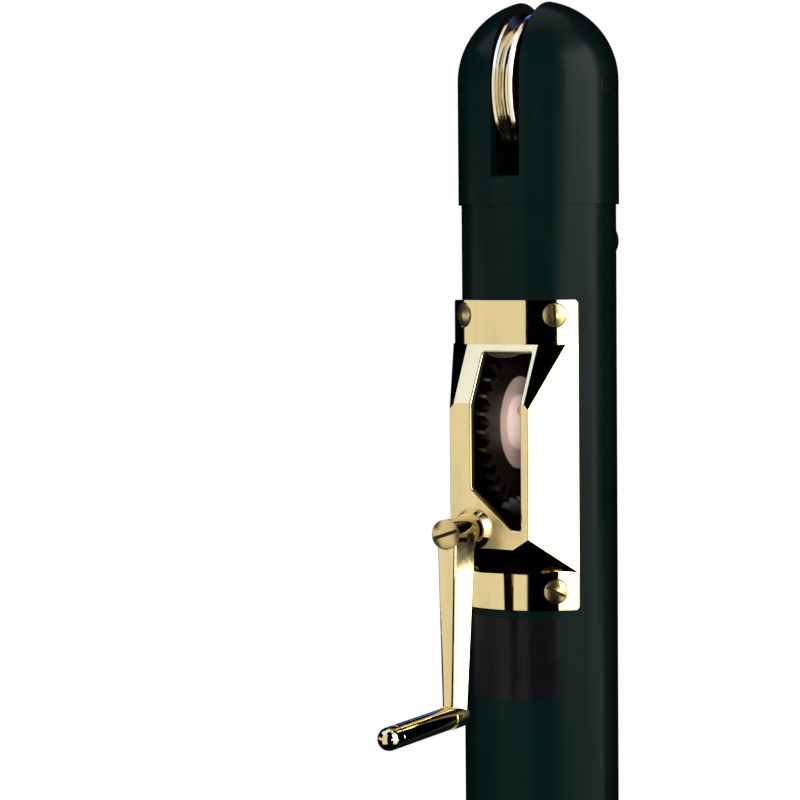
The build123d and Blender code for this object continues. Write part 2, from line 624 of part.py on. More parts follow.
def wheel_outline(turn):
    """Toothed outline about the origin, a tooth pointing down, turned by some radians."""
    lean = math.tan(math.radians(PRESSURE_ANGLE))
    root_r = WHEEL_PITCH_R - MODULE - 2 * TIP_CLEARANCE
    radii = (root_r, WHEEL_PITCH_R, WHEEL_R)
    spreads = [(tooth_half_width() - (radius - WHEEL_PITCH_R) * lean) / WHEEL_PITCH_R for radius in radii]
    flank = list(zip(radii, spreads))
    points = []
    for tooth in range(WHEEL_TEETH):
        middle = -math.pi / 2 + 2 * math.pi * tooth / WHEEL_TEETH + turn
        corners = [(radius, middle - spread) for radius, spread in flank]
        corners += [(radius, middle + spread) for radius, spread in reversed(flank)]
        points += [(radius * math.cos(angle), radius * math.sin(angle)) for radius, angle in corners]
    return points


def worm_wheel():
    """Wheel whose teeth lean with the lead of the worm."""
    twist = WORM_LEAD / (2 * math.pi * WORM_PITCH_R) * WHEEL_FACE / WHEEL_PITCH_R
    sections = []
    for x, turn in ((WHEEL_LEFT_X, -twist / 2), (WHEEL_RIGHT_X, twist / 2)):
        points = [(x, DRUM_Y + y, DRUM_Z + z) for y, z in wheel_outline(turn)]
        sections.append(make_face(Polyline(*points, close=True)))
    wheel = loft(sections, ruled=True)
    wheel -= rod_x(DRUM_REGISTER_R + SEAT_FIT, WHEEL_LEFT_X, WHEEL_RIGHT_X, DRUM_Y, DRUM_Z)
    for place in wheel_screw_places():
        wheel -= place * screw_hole(WHEEL_SCREW_R, WHEEL_FACE)
    return wheel


def wheel_screw_places():
    """Seats of the screws on the wheel's left side, local +Z outwards."""
    radius = (DRUM_REGISTER_R + DRUM_R) / 2
    places = []
    for index in range(WHEEL_SCREW_COUNT):
        angle = math.pi / 2 + 2 * math.pi * index / WHEEL_SCREW_COUNT
        origin = (WHEEL_LEFT_X, DRUM_Y + radius * math.cos(angle), DRUM_Z + radius * math.sin(angle))
        places.append(Plane(origin=origin, x_dir=(0, 0, 1), z_dir=(-1, 0, 0)).location)
    return places


def wheel_screws():
    """Slotted screws that fix the worm wheel to the drum."""
    screw = slotted_screw(WHEEL_SCREW_HEAD_R, WHEEL_SCREW_HEAD_T, WHEEL_SCREW_R, WHEEL_SCREW_LENGTH,
                          WHEEL_SCREW_TURN)
    return [place * screw for place in wheel_screw_places()]


def drive_square(side, front_y):
    """Square along the worm's axis from front_y to the rear of the crank's hub."""
    half = side / 2
    return block(WORM_X - half, WORM_X + half, front_y, HUB_REAR_Y, WORM_Z - half, WORM_Z + half)


def collar_pin_hole(radius, half):
    """Rod across the middle of the collar, as a hole or as its pin."""
    return rod_x(radius, WORM_X - half, WORM_X + half, COLLAR_Y + COLLAR_T / 2, WORM_Z)


def worm_shaft():
    """Shaft with the worm thread, two journals, a thrust shoulder and the crank's square."""
    shaft = rod_y(JOURNAL_R, HUB_REAR_Y, COLLAR_Y + COLLAR_T, WORM_X, WORM_Z)
    shaft += rod_y(WORM_ROOT_R, SHOULDER_Y, WORM_REAR_Y, WORM_X, WORM_Z)
    shaft += drive_square(DRIVE_SQUARE, SQUARE_FRONT_Y)
    screw_end = HUB_FRONT_Y + CRANK_SCREW_LENGTH + SCREW_HOLE_SPARE
    shaft -= rod_y(CRANK_SCREW_SHANK_R + SEAT_FIT, SQUARE_FRONT_Y, screw_end, WORM_X, WORM_Z)
    return shaft + worm_thread() - collar_pin_hole(COLLAR_PIN_R + SEAT_FIT, COLLAR_R)


def worm_thread():
    """Single right-hand thread of straight-sided section round the worm's root."""
    lean = math.tan(math.radians(PRESSURE_ANGLE))
    sunk_r = WORM_ROOT_R - THREAD_SINK
    root_half = tooth_half_width() + (WORM_PITCH_R - sunk_r) * lean
    tip_half = tooth_half_width() - MODULE * lean
    length = WORM_LENGTH - 2 * root_half
    path = Helix(pitch=WORM_LEAD, height=length, radius=WORM_PITCH_R)
    points = [(sunk_r, 0, -root_half), (WORM_R, 0, -tip_half), (WORM_R, 0, tip_half), (sunk_r, 0, root_half)]
    thread = sweep(make_face(Polyline(*points, close=True)), path=path, is_frenet=True)
    # The turn puts a gap of the thread at the wheel's lowest tooth
    turn = 360 * (0.25 - length / (2 * WORM_LEAD))
    return Pos(WORM_X, DRUM_Y - length / 2, WORM_Z) * Rot(-90, 0, 0) * Rot(0, 0, turn) * thread


def worm_bush(y0, y1):
    """Bronze sleeve round the worm shaft between two places."""
    return rod_y(WORM_BUSH_R, y0, y1, WORM_X, WORM_Z) - rod_y(JOURNAL_R + RUN_FIT, y0, y1, WORM_X, WORM_Z)


def worm_front_bush():
    """Bronze sleeve in the front boss."""
    return worm_bush(BOSS_FRONT_Y, FRONT_BUSH_REAR_Y)


def worm_rear_bush():
    """Bronze sleeve in the rear post."""
    return worm_bush(REAR_BUSH_Y, REAR_END_Y)


def shaft_ring(radius, y0, thickness):
    """Ring seated on the worm shaft."""
    ring = rod_y(radius, y0, y0 + thickness, WORM_X, WORM_Z)
    return ring - rod_y(JOURNAL_R + SEAT_FIT, y0, y0 + thickness, WORM_X, WORM_Z)


def thrust_washer():
    """Ring between the front bush and the worm's shoulder."""
    return shaft_ring(THRUST_WASHER_R, SHOULDER_Y - THRUST_WASHER_T, THRUST_WASHER_T)


def worm_collar():
    """Ring pinned to the rear end of the worm shaft."""
    return shaft_ring(COLLAR_R, COLLAR_Y, COLLAR_T) - collar_pin_hole(COLLAR_PIN_R + SEAT_FIT, COLLAR_R)


def collar_pin():
    """Pin across the collar and the shaft."""
    return collar_pin_hole(COLLAR_PIN_R, COLLAR_R - COLLAR_PIN_SINK)


def crank_washer():
    """Ring between the front boss and the crank's hub."""
    return shaft_ring(CRANK_WASHER_R, HUB_REAR_Y, THRUST_WASHER_T)


def arm_section(z, width, depth):
    """Rounded section of the blade at a height, narrow in front and wider behind by the draft."""
    half = width / 2
    rear_half = half + depth * math.tan(math.radians(ARM_DRAFT))
    rear_y = HUB_FRONT_Y + depth
    points = [(-half, HUB_FRONT_Y), (half, HUB_FRONT_Y), (rear_half, rear_y), (-rear_half, rear_y)]
    section = make_face(Polyline(*[(WORM_X + x, y, z) for x, y in points], close=True))
    section = fillet(section.vertices().sort_by(Axis.Y)[:2], ARM_FRONT_EDGE_R)
    return fillet(section.vertices().sort_by(Axis.Y)[-2:], ARM_REAR_EDGE_R)


def crank_arm():
    """Hub, tapered blade and end boss in one casting."""
    hub = rod_y(HUB_R, HUB_FRONT_Y, HUB_REAR_Y, WORM_X, WORM_Z)
    boss = rod_y(ARM_BOSS_R, HUB_FRONT_Y, HUB_FRONT_Y + ARM_BOSS_LENGTH, WORM_X, GRIP_Z)
    boss = fillet(boss.edges().filter_by(GeomType.CIRCLE).sort_by(Axis.Y)[-1], ARM_BOSS_EDGE_R)
    top = arm_section(WORM_Z, ARM_TOP_WIDTH, ARM_TOP_DEPTH)
    end = arm_section(GRIP_Z, ARM_END_WIDTH, ARM_END_DEPTH)
    arm = loft([end, top], ruled=True) + hub + boss
    arm -= drive_square(DRIVE_SQUARE + 2 * SEAT_FIT, SQUARE_FRONT_Y)
    arm -= rod_y(CRANK_SCREW_SHANK_R + HOLE_FIT, HUB_FRONT_Y, SQUARE_FRONT_Y, WORM_X, WORM_Z)
    return arm - rod_y(GRIP_PIN_R + SEAT_FIT, HUB_FRONT_Y, HUB_FRONT_Y + ARM_BOSS_LENGTH, WORM_X, GRIP_Z)


def crank_screw():
    """Large slotted screw that holds the hub on the square."""
    screw = slotted_screw(CRANK_SCREW_HEAD_R, CRANK_SCREW_HEAD_T, CRANK_SCREW_SHANK_R, CRANK_SCREW_LENGTH,
                          CRANK_SLOT_TURN)
    return Plane(origin=(WORM_X, HUB_FRONT_Y, WORM_Z), x_dir=(1, 0, 0), z_dir=(0, -1, 0)).location * screw


def grip_pin():
    """Pin riveted in the arm, with the domed head that keeps the grip on."""
    rear = HUB_FRONT_Y + ARM_BOSS_LENGTH
    neck = GRIP_FRONT_Y - END_PLAY
    pin = rod_y(GRIP_PIN_R, neck, rear, WORM_X, GRIP_Z)
    rivet = rod_y(RIVET_R, rear, rear + RIVET_T, WORM_X, GRIP_Z)
    dome_y = neck - GRIP_HEAD_LENGTH + GRIP_R
    head = rod_y(GRIP_R, dome_y, neck, WORM_X, GRIP_Z) + Pos(WORM_X, dome_y, GRIP_Z) * Sphere(GRIP_R)
    return pin + rivet + head


def grip_sleeve():
    """Round sleeve that turns in the hand on the grip pin."""
    sleeve = rod_y(GRIP_R, GRIP_FRONT_Y, GRIP_REAR_Y, WORM_X, GRIP_Z)
    sleeve = chamfer(sleeve.edges().filter_by(GeomType.CIRCLE), GRIP_EDGE)
    return sleeve - rod_y(GRIP_PIN_R + RUN_FIT, GRIP_FRONT_Y, GRIP_REAR_Y, WORM_X, GRIP_Z)


def lacing_rod():
    """Rod that the net's side tapes go round, hung by its bent top."""
    bend_z = ROD_TOP_Z + ROD_BEND_R
    corners = [(0, ROD_Y, ROD_BOTTOM_Z), (0, ROD_Y, bend_z), (0, ROD_Y + ROD_BEND_R + ROD_TAIL, bend_z)]
    path = FilletPolyline(*corners, radius=ROD_BEND_R)
    return sweep(Plane(origin=corners[0], z_dir=(0, 0, 1)) * Circle(ROD_R), path=path)


def eye_heights():
    """Middle heights of the lacing rod's eyes."""
    first = ROD_BOTTOM_Z + EYE_FIRST_RISE
    last = ROD_TOP_Z - EYE_HEIGHT / 2
    return [first + (last - first) * index / (EYE_COUNT - 1) for index in range(EYE_COUNT)]


def rod_eyes():
    """Welded eyes that guide the lacing rod."""
    outer_r = ROD_R + EYE_CLEARANCE + EYE_WALL
    eyes = []
    for z in eye_heights():
        z0, z1 = z - EYE_HEIGHT / 2, z + EYE_HEIGHT / 2
        eye = rod_z(outer_r, z0, z1, y=ROD_Y) + block(-EYE_WALL, EYE_WALL, 0, ROD_Y, z0, z1)
        eye -= rod_z(TUBE_R, z0, z1)
        eyes.append(eye - rod_z(ROD_R + EYE_CLEARANCE, z0, z1, y=ROD_Y))
    return eyes


NODES = {
    "post_tube": post_tube,
    "blank_label": blank_label,
    "top_cap": top_cap,
    "cap_screws": cap_screws,
    "sheave_axle": sheave_axle,
    "sheave": sheave,
    "sheave_bush": sheave_bush,
    "winch_housing": winch_housing,
    "housing_screws": housing_screws,
    "drum_axle": drum_axle,
    "axle_ring": axle_ring,
    "cable_drum": cable_drum,
    "drum_flange": drum_flange,
    "drum_bush": drum_bush,
    "clamp_screw": clamp_screw,
    "worm_wheel": worm_wheel,
    "wheel_screws": wheel_screws,
    "worm_shaft": worm_shaft,
    "worm_front_bush": worm_front_bush,
    "worm_rear_bush": worm_rear_bush,
    "thrust_washer": thrust_washer,
    "worm_collar": worm_collar,
    "collar_pin": collar_pin,
    "crank_washer": crank_washer,
    "crank_arm": crank_arm,
    "crank_screw": crank_screw,
    "grip_pin": grip_pin,
    "grip_sleeve": grip_sleeve,
    "lacing_rod": lacing_rod,
    "rod_eyes": rod_eyes,
}

if __name__ == "__main__":
    os.makedirs("parts", exist_ok=True)
    for name, make in NODES.items():
        made = make()
        pieces = made if isinstance(made, list) else [made]
        solids = [solid for piece in pieces for solid in piece.solids()]
        export_step(Compound(children=solids), f"parts/{name}.step")
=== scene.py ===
import math

import bpy
from mathutils import Matrix, Vector
from mathutils.bvhtree import BVHTree

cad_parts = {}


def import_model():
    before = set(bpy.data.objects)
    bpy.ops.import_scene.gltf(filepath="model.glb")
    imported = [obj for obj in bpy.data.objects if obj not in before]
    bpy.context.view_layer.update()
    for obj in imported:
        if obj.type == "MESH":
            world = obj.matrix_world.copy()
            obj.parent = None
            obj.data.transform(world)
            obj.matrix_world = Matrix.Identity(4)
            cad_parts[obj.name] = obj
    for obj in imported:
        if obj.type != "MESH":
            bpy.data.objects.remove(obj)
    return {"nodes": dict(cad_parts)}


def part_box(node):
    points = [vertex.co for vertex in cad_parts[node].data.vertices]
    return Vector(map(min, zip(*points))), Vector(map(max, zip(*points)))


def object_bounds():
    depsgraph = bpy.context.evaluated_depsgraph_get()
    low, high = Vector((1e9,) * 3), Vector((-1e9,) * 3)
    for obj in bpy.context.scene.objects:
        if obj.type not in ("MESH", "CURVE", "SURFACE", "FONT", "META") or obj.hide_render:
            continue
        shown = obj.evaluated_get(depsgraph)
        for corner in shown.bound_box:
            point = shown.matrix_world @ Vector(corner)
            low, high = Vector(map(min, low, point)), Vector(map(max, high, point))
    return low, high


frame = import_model()
cad_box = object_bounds()

# Sizes are in metres and angles in degrees. Azimuth 0 is the winch side, -Y, and grows towards +X.

# Camera: where the photograph was taken from
CAMERA_AZIMUTH = 24.5
CAMERA_DISTANCE = 1.345
CAMERA_HEIGHT = 1.568
CAMERA_TILT = 3.147
CAMERA_YAW = 2.95
CAMERA_ROLL = -0.5
CAMERA_LENS = 122.3
CAMERA_SENSOR = 36.0
CAMERA_REACH = 50.0

# Studio
WINCH_HEIGHT = 1.46
WORLD_FILL = 0.35
FLOOR_RADIUS = 20.0
FLOOR_SIDES = 64
FLOOR_DROP = 0.0002
FLOOR_FADE = (1.0, 3.0)
CARD_DISTANCE = 2.3
BACK_FLAG_DISTANCE = 2.346
CARD_STEPS = 12

# Faces told apart by place and direction
FACE_Y = -0.059
FACE_SPARE = 0.0002
BEHIND_FACE = 0.002
ALONG_AXIS = 0.99
TURNED_FORWARD = 0.5
NEARLY_UPRIGHT = 0.1
WALL_RAY_START = 0.00002
WALL_REACH = 0.2
CAP_INSIDE_RADIUS = 0.034
SLOT_RAYS = 12
SLOT_RAY_START = 0.00001
SLOT_REACH = 0.003
SLOT_SHARE = 0.25
GEAR_HUB_EDGE = (0.0220, 0.0230)
SNOUT_HALF_WIDTH = 0.0206
SNOUT_HEIGHTS = (1.4118, 1.5225)

# Depths of relief in the materials
PEEL_DEPTH = 0.00001
WAVE_DEPTH = 0.00004
RUB_DEPTH = 0.000003
DENT_DEPTH = 0.000035
CASTING_DEPTH = 0.00015
SPANGLE_DEPTH = 0.00004
LABEL_DEPTH = 0.00003

# Turning lines: widths, depth as a share of the width, stretch round the axis, and the axes
FINE_TURNING = 0.0004
DRUM_TURNING = 0.0005
GEAR_TURNING = 0.0006
TURNING_DEPTH_SHARE = 0.02
TURNING_STRETCH = 0.02
AXIS_X = 0
AXIS_Y = 1

# Stretches of noise: none, and rubbed along Z
EVEN = (1, 1, 1)
RUBBED = (1, 1, 0.12)

# Colours, linear
GREEN = (0.0013, 0.0075, 0.0062)
BRASS = (0.76, 0.610, 0.300)
SCREW_BRASS = (0.70, 0.53, 0.235)
COPPER = (0.97, 0.77, 0.68)
BUSH_BRONZE = (0.46, 0.30, 0.15)
# Wheel bronze darkened towards black as painted shade inside the casting.
GEAR_BRONZE_PAINTED_SHADE = (0.085, 0.070, 0.050)
# Worm wheel sides: a bright painted light round the hub and a near-black painted shade further out.
GEAR_HUB_PAINTED_LIGHT = (0.88, 0.67, 0.58)
GEAR_WEB_PAINTED_SHADE = (0.016, 0.012, 0.010)
SHEAVE_BRASS = (0.86, 0.76, 0.54)
# Near black in the screw slots: a little old polish and painted shade of the recess.
GRIME_AND_SHADE = (0.030, 0.022, 0.012)
# Worm steel darkened towards black as painted shade inside the casting.
DARK_STEEL_PAINTED_SHADE = (0.10, 0.10, 0.10)
BLACKENED_STEEL = (0.020, 0.019, 0.019)
# Near black inside the winch casting: an unpolished casting, with its colour darkened as painted
# shade.
CASTING_SHADE_PALE = (0.050, 0.042, 0.032)
CASTING_SHADE_DEEP = (0.022, 0.019, 0.015)
# Near black inside the tube and the cap: painted shade of the hollow.
INSIDE_SHADE_PALE = (0.0035, 0.0035, 0.0035)
INSIDE_SHADE_DEEP = (0.0015, 0.0018, 0.0018)
STEEL = (0.50, 0.50, 0.51)
ZINC = (0.46, 0.47, 0.48)
LABEL_BLACK = (0.004, 0.004, 0.005)
FLOOR_COLOUR = (0.86, 0.86, 0.85)
WHITE = (1.0, 1.0, 0.98)
SKY = (0.55, 0.66, 1.0)
BLUE = (0.10, 0.35, 1.60)
BLACK = (0.0, 0.0, 0.0)

# Brasses: colour, lowest and highest roughness, tarnish, stretch of the rub marks, metallic share
BRASSES = {
    "polished_brass": (BRASS, 0.035, 0.085, 0.5, RUBBED, 1.0),
    "satin_brass": (BRASS, 0.26, 0.36, 0.5, RUBBED, 0.75),
    "brass_fastener": (SCREW_BRASS, 0.20, 0.32, 0.9, EVEN, 1.0),
    "sheave_brass": (SHEAVE_BRASS, 0.10, 0.20, 0.7, EVEN, 1.0),
}

# Turned metals: colour, lowest and highest roughness, axis, width of the lines, metallic share
TURNED_METALS = {
    "steel": (STEEL, 0.18, 0.34, AXIS_Y, FINE_TURNING, 1.0),
    # The worm's steel is painted shade: darkened towards black inside the casting.
    "dark_steel": (DARK_STEEL_PAINTED_SHADE, 0.22, 0.38, AXIS_Y, FINE_TURNING, 1.0),
    "blackened_steel": (BLACKENED_STEEL, 0.35, 0.50, AXIS_Y, FINE_TURNING, 1.0),
    "bronze_bush": (BUSH_BRONZE, 0.25, 0.45, AXIS_Y, FINE_TURNING, 1.0),
    "copper_bronze": (COPPER, 0.30, 0.42, AXIS_X, DRUM_TURNING, 0.05),
    # The wheel's bronze is painted shade: darkened towards black inside the casting.
    "gear_bronze": (GEAR_BRONZE_PAINTED_SHADE, 0.32, 0.48, AXIS_Y, GEAR_TURNING, 1.0),
}

# Nodes by their materials. The first material is on every face that no mark puts another on.
FINISHES = {
    ("green_powder_coat",): ("rod_eyes",),
    ("green_powder_coat", "tube_inside"): ("post_tube", "top_cap"),
    ("polished_brass",): ("crank_arm", "grip_pin", "grip_sleeve", "crank_washer"),
    ("polished_brass", "rough_casting", "satin_brass"): ("winch_housing",),
    ("sheave_brass",): ("sheave",),
    ("steel",): ("drum_axle", "axle_ring", "worm_collar", "collar_pin"),
    ("dark_steel",): ("worm_shaft",),
    ("blackened_steel",): ("sheave_axle", "cap_screws"),
    ("bronze_bush",): ("sheave_bush", "drum_bush", "worm_front_bush", "worm_rear_bush",
                       "thrust_washer"),
    ("copper_bronze",): ("cable_drum", "drum_flange"),
    ("gear_bronze", "gear_side"): ("worm_wheel",),
    ("brass_fastener", "slot_grime"): ("housing_screws", "crank_screw"),
    ("steel", "slot_grime"): ("clamp_screw", "wheel_screws"),
    ("galvanised_rod",): ("lacing_rod",),
    ("black_label",): ("blank_label",),
}

# Light boxes that only reflections see: azimuths, elevations, colour and strength
LIGHT_BOXES = {
    "flange_box": ((47.9, 73), (-9.5, 4), WHITE, 4.0),
    "high_box": ((64, 118), (4, 42), WHITE, 6.5),
    "mid_box": ((73, 107.5), (-9.5, 4), WHITE, 2.2),
    "side_box": ((107.5, 117), (-9.5, 4), WHITE, 5.0),
    "low_box": ((66, 117), (-28, -9.5), WHITE, 1.5),
    "arm_box": ((121, 128.5), (-15.5, -9.6), WHITE, 5.0),
    "key_box": ((-88, -22), (32, 85), SKY, 2.1),
    "blue_box": ((-161, -153), (10.5, 16), BLUE, 1.1),
    "blue_top": ((-152, -136), (32, 56), BLUE, 0.9),
}

# Black flags that only reflections see: azimuths, elevations and distance
BLACK_FLAGS = {
    "camera_flag": ((6.5, 47.9), (-60, 60), CARD_DISTANCE),
    "left_flag": ((-145, -92), (-60, 60), CARD_DISTANCE),
    "left_top_flag": ((-92, -45), (4.5, 32), CARD_DISTANCE),
    "left_low_flag": ((-92, -45), (-60, -10), CARD_DISTANCE),
    "top_flag": ((-12, 75), (45, 78), CARD_DISTANCE),
    "right_top_flag": ((47.9, 64), (4, 45), CARD_DISTANCE),
    "right_low_flag": ((47.9, 66), (-60, -9.5), CARD_DISTANCE),
    "back_flag": ((117, 215), (-60, 60), BACK_FLAG_DISTANCE),
    "low_flag": ((-180, 180), (-89, -40), CARD_DISTANCE),
}

# Lamps: azimuth, elevation, distance, size and power
LAMPS = {
    "front_lamp": (23, 10, 2.0, 0.6, 34.0),
    "key_lamp": (-45, 45, 2.0, 1.4, 6.0),
    "right_lamp": (95, 12, 2.0, 1.4, 8.0),
    "back_lamp": (205, 10, 2.0, 0.6, 30.0),
}


class Shader:
    """Short way to build a material's node tree."""

    def __init__(self, name):
        self.material = bpy.data.materials.new(name)
        self.material.use_nodes = True
        self.tree = self.material.node_tree
        self.surface = self.tree.nodes["Principled BSDF"]

    def node(self, kind, **settings):
        """New node with its settings and its input values."""
        made = self.tree.nodes.new(kind)
        for key, value in settings.items():
            if hasattr(made, key):
                setattr(made, key, value)
            else:
                made.inputs[key.replace("_", " ")].default_value = value
        return made

    def link(self, source, target):
        """Joins two sockets."""
        self.tree.links.new(source, target)

    def set(self, **values):
        """Values on the surface shader's own sockets."""
        for key, value in values.items():
            if isinstance(value, tuple) and len(value) == 3:
                value = (*value, 1.0)
            self.surface.inputs[key.replace("_", " ")].default_value = value

    def place(self, stretch=EVEN):
        """Object coordinates, stretched."""
        coords = self.node("ShaderNodeTexCoord")
        mapping = self.node("ShaderNodeMapping")
        mapping.inputs["Scale"].default_value = stretch
        self.link(coords.outputs["Object"], mapping.inputs["Vector"])
        return mapping.outputs["Vector"]

    def noise(self, scale, detail=3.0, roughness=0.55, stretch=EVEN):
        """Noise of a given scale per metre, 0 to 1."""
        made = self.node("ShaderNodeTexNoise", Scale=scale, Detail=detail, Roughness=roughness)
        self.link(self.place(stretch), made.inputs["Vector"])
        return made.outputs["Fac"]

    def ramp(self, value, low, high, out_low=0.0, out_high=1.0):
        """Value mapped from one range to another, held at the ends."""
        made = self.node("ShaderNodeMapRange")
        made.inputs["From Min"].default_value = low
        made.inputs["From Max"].default_value = high
        made.inputs["To Min"].default_value = out_low
        made.inputs["To Max"].default_value = out_high
        self.link(value, made.inputs["Value"])
        return made.outputs["Result"]

    def math(self, operation, first, second=0.0):
        """One arithmetic step on sockets or numbers."""
        made = self.node("ShaderNodeMath", operation=operation)
        for index, value in enumerate((first, second)):
            if isinstance(value, (int, float)):
                made.inputs[index].default_value = value
            else:
                self.link(value, made.inputs[index])
        return made.outputs["Value"]

    def mix(self, factor, first, second):
        """Colour between two colours or sockets."""
        made = self.node("ShaderNodeMix", data_type="RGBA")
        self.link(factor, made.inputs["Factor"])
        for name, value in (("A", first), ("B", second)):
            socket = [s for s in made.inputs if s.name == name and s.type == "RGBA"][0]
            if isinstance(value, tuple):
                socket.default_value = (*value, 1.0)
            else:
                self.link(value, socket)
        return [s for s in made.outputs if s.type == "RGBA"][0]

    def bump(self, height, distance, below=None):
        """Bump of a height in metres, on top of another one."""
        made = self.node("ShaderNodeBump", Strength=1.0, Distance=distance)
        self.link(height, made.inputs["Height"])
        if below is not None:
            self.link(below, made.inputs["Normal"])
        return made.outputs["Normal"]

    def colour(self, socket):
        """Colour of the surface."""
        self.link(socket, self.surface.inputs["Base Color"])

    def rough(self, socket):
        """Roughness of the surface."""
        self.link(socket, self.surface.inputs["Roughness"])

    def normal(self, socket):
        """Relief of the surface."""
        self.link(socket, self.surface.inputs["Normal"])


def shade(colour, factor):
    """Colour made darker or lighter."""
    return tuple(channel * factor for channel in colour)


def green_paint(name):
    """Gloss powder coat with orange peel and a few dull patches."""
    mat = Shader(name)
    mat.set(Specular_IOR_Level=0.06)
    patches = mat.noise(9.0, detail=4.0)
    mat.colour(mat.mix(mat.ramp(patches, 0.3, 0.7), shade(GREEN, 0.85), shade(GREEN, 1.2)))
    mat.rough(mat.ramp(mat.noise(38.0, detail=5.0), 0.25, 0.75, 0.20, 0.30))
    peel = mat.noise(520.0, detail=2.0, roughness=0.4)
    waves = mat.noise(60.0, detail=1.0, roughness=0.3)
    mat.normal(mat.bump(peel, PEEL_DEPTH, below=mat.bump(waves, WAVE_DEPTH)))
    return mat.material


def brass(name, colour, low, high, tarnish, stretch, metallic):
    """Brass with fine rub marks and a little tarnish."""
    mat = Shader(name)
    mat.set(Metallic=metallic)
    cloud = mat.ramp(mat.noise(26.0, detail=6.0, roughness=0.6), 0.35, 0.75)
    streak = mat.ramp(mat.noise(150.0, detail=3.0, stretch=stretch), 0.4, 0.7)
    stain = mat.math("MULTIPLY", cloud, streak)
    mat.colour(mat.mix(mat.math("MULTIPLY", stain, tarnish), colour, shade(colour, 0.55)))
    mat.rough(mat.ramp(mat.noise(70.0, detail=6.0, stretch=stretch), 0.3, 0.7, low, high))
    rub = mat.noise(900.0, detail=2.0, stretch=stretch)
    dents = mat.noise(75.0, detail=2.0, roughness=0.35)
    mat.normal(mat.bump(rub, RUB_DEPTH, below=mat.bump(dents, DENT_DEPTH)))
    return mat.material


def slot_grime(name):
    """Near-black colour in the slots of the screws: a little old polish and painted shade of the
    recess.
    """
    mat = Shader(name)
    mat.set(Roughness=0.6, Specular_IOR_Level=0.1)
    mat.colour(mat.mix(mat.noise(900.0, detail=3.0), GRIME_AND_SHADE, shade(GRIME_AND_SHADE, 0.4)))
    return mat.material


def turned_metal(name, colour, low, high, axis, pitch, metallic):
    """Machined metal with fine turning lines round one axis."""
    mat = Shader(name)
    mat.set(Metallic=metallic)
    stretch = [TURNING_STRETCH] * 3
    stretch[axis] = 1.0
    lines = mat.noise(1.0 / pitch, detail=2.0, stretch=tuple(stretch))
    cloud = mat.noise(55.0, detail=5.0)
    mat.colour(mat.mix(mat.ramp(cloud, 0.35, 0.75), colour, shade(colour, 0.72)))
    mat.rough(mat.ramp(mat.math("ADD", lines, cloud), 0.7, 1.3, low, high))
    mat.normal(mat.bump(lines, pitch * TURNING_DEPTH_SHARE))
    return mat.material


def gear_side(name):
    """Sides of the worm wheel: painted light as a bright disc round the hub, and painted shade, near
    black, further out.
    """
    mat = Shader(name)
    mat.set(Metallic=0.15)
    low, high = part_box("worm_wheel")
    centre = mat.node("ShaderNodeCombineXYZ", Y=(low.y + high.y) / 2, Z=(low.z + high.z) / 2)
    radius = mat.node("ShaderNodeVectorMath", operation="DISTANCE")
    mat.link(mat.place((0, 1, 1)), radius.inputs[0])
    mat.link(centre.outputs["Vector"], radius.inputs[1])
    outside = mat.ramp(radius.outputs["Value"], *GEAR_HUB_EDGE)
    mat.colour(mat.mix(outside, GEAR_HUB_PAINTED_LIGHT, GEAR_WEB_PAINTED_SHADE))
    mat.rough(mat.ramp(mat.noise(200.0, detail=4.0), 0.3, 0.7, 0.35, 0.5))
    return mat.material


def rough_casting(name):
    """Unpolished inside of the winch casting, its colour darkened to near black as painted shade."""
    mat = Shader(name)
    mat.set(Metallic=0.3)
    grain = mat.noise(700.0, detail=4.0)
    cloud = mat.noise(60.0, detail=4.0)
    mat.colour(mat.mix(mat.ramp(cloud, 0.3, 0.7), CASTING_SHADE_PALE, CASTING_SHADE_DEEP))
    mat.rough(mat.ramp(grain, 0.3, 0.7, 0.45, 0.7))
    mat.normal(mat.bump(grain, CASTING_DEPTH))
    return mat.material


def zinc_rod(name):
    """Galvanised rod with its spangle."""
    mat = Shader(name)
    mat.set(Metallic=1.0)
    cells = mat.node("ShaderNodeTexVoronoi", Scale=260.0)
    mat.link(mat.place((1, 1, 0.6)), cells.inputs["Vector"])
    grey = mat.node("ShaderNodeRGBToBW")
    mat.link(cells.outputs["Color"], grey.inputs["Color"])
    mat.colour(mat.mix(grey.outputs["Val"], shade(ZINC, 0.8), shade(ZINC, 1.12)))
    mat.rough(mat.ramp(grey.outputs["Val"], 0.1, 0.9, 0.28, 0.5))
    mat.normal(mat.bump(mat.noise(400.0, detail=3.0), SPANGLE_DEPTH))
    return mat.material


def black_label(name):
    """Bare black label."""
    mat = Shader(name)
    mat.set(Specular_IOR_Level=0.12)
    cloud = mat.noise(30.0, detail=4.0)
    mat.colour(mat.mix(cloud, shade(LABEL_BLACK, 0.8), shade(LABEL_BLACK, 1.3)))
    mat.rough(mat.ramp(mat.noise(120.0, detail=5.0), 0.3, 0.7, 0.16, 0.28))
    mat.normal(mat.bump(mat.noise(140.0, detail=2.0), LABEL_DEPTH))
    return mat.material


def tube_inside(name):
    """Dull paint inside the tube and the cap, made near black as painted shade of the hollow."""
    mat = Shader(name)
    mat.set(Roughness=0.7, Specular_IOR_Level=0.05)
    cloud = mat.noise(40.0, detail=4.0)
    mat.colour(mat.mix(cloud, INSIDE_SHADE_DEEP, INSIDE_SHADE_PALE))
    return mat.material


def make_materials():
    """All materials of the CAD nodes, by name."""
    made = {name: brass(name, *looks) for name, looks in BRASSES.items()}
    made.update({name: turned_metal(name, *looks) for name, looks in TURNED_METALS.items()})
    others = {
        "green_powder_coat": green_paint,
        "tube_inside": tube_inside,
        "rough_casting": rough_casting,
        "slot_grime": slot_grime,
        "gear_side": gear_side,
        "galvanised_rod": zinc_rod,
        "black_label": black_label,
    }
    made.update({name: build(name) for name, build in others.items()})
    return made


